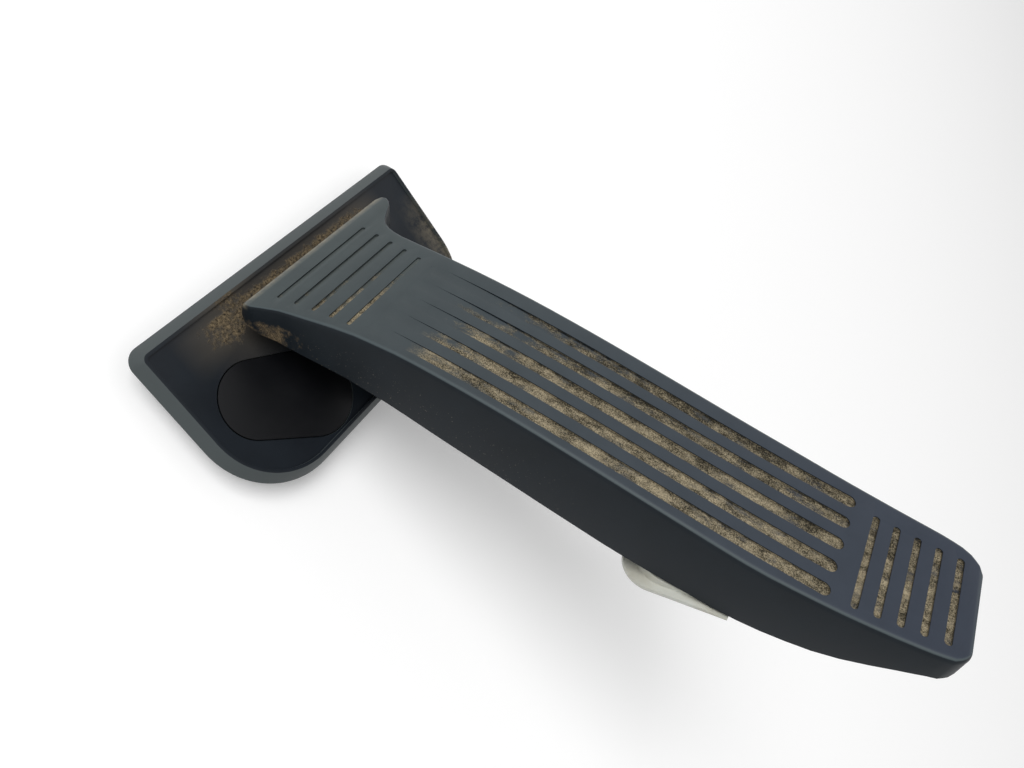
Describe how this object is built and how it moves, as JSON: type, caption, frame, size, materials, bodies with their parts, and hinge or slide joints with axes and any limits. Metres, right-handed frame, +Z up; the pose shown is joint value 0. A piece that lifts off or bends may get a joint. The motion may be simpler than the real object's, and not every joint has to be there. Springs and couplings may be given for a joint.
{
  "type": "accelerator pedal",
  "caption": "Floor-hinged electronic accelerator pedal: a long ribbed pad on a bevelled foot plate, with a sensor case, lever and roller track under the pad.",
  "frame": {"origin": "middle of the steel backing plate's underside, which lies on the vehicle's floor", "axes": "+Z up from the floor, +Y from the foot plate's heel edge to its far edge, +X along the hinge towards the flush cap"},
  "size_m": [0.15, 0.2074, 0.1951],
  "materials": {
    "pad_plastic": "black moulded plastic, satin and worn",
    "plate_plastic": "black moulded plastic, fine grain",
    "cap_plastic": "black moulded plastic, greyed",
    "case_plastic": "glass-filled black plastic",
    "lever_plastic": "glass-filled black nylon",
    "nylon_natural": "natural nylon, slightly glossy",
    "rubber_seal": "moulded rubber",
    "zinc_steel": "zinc-plated pressed steel",
    "screw_steel": "zinc-plated steel",
    "spring_steel": "spring wire",
    "board_green": "solder-resist coated board",
    "contact_brass": "brass contact strip",
    "magnet_grey": "sintered magnet"
  },
  "bodies": {
    "foot": {"base_plate": "plate_plastic", "backing_plate": "zinc_steel", "backing_screws": "screw_steel", "fixing_sleeves": "zinc_steel", "fixing_cap": "cap_plastic", "hinge_bushes": "nylon_natural", "sensor_case": "case_plastic", "case_screws": "screw_steel", "case_cover": "case_plastic", "cover_screws": "screw_steel", "cover_seal": "rubber_seal", "circuit_board": "board_green", "hall_chips": "case_plastic", "contact_pins": "contact_brass", "return_spring_outer": "spring_steel", "return_spring_inner": "spring_steel", "friction_shoe": "nylon_natural", "shoe_spring": "spring_steel", "full_stop": "rubber_seal"},
    "pad": {"pedal_pad": "pad_plastic", "hinge_pin": "screw_steel", "slide_track": "nylon_natural", "track_screws": "screw_steel"},
    "lever": {"sensor_lever": "lever_plastic", "lever_shaft": "screw_steel", "magnet_holder": "lever_plastic", "ring_magnet": "magnet_grey", "roller_pin": "screw_steel", "pin_clip": "spring_steel"},
    "roller": {"roller": "nylon_natural"}
  },
  "joints": [
    {"name": "pad_turn", "type": "hinge", "parent": "foot", "child": "pad", "pos_m": [0.0045, -0.0163, 0.02721], "axis": [-1, 0, 0], "range_deg": [0, 18], "stiffness_Nm_per_rad": 8, "springref_deg": -20.05},
    {"name": "lever_turn", "type": "hinge", "parent": "foot", "child": "lever", "pos_m": [-0.00325, 0.013, 0.028], "axis": [-1, 0, 0], "range_deg": [0, 21.3], "deforming": ["return_spring_outer", "return_spring_inner"]},
    {"name": "roller_spin", "type": "hinge", "parent": "lever", "child": "roller", "pos_m": [-0.00325, 0.11058, 0.12558], "axis": [1, 0, 0], "continuous": true}
  ],
  "couplings": [
    {"joint": "lever_turn", "follows": "pad_turn", "ratio": 1.18}
  ]
}
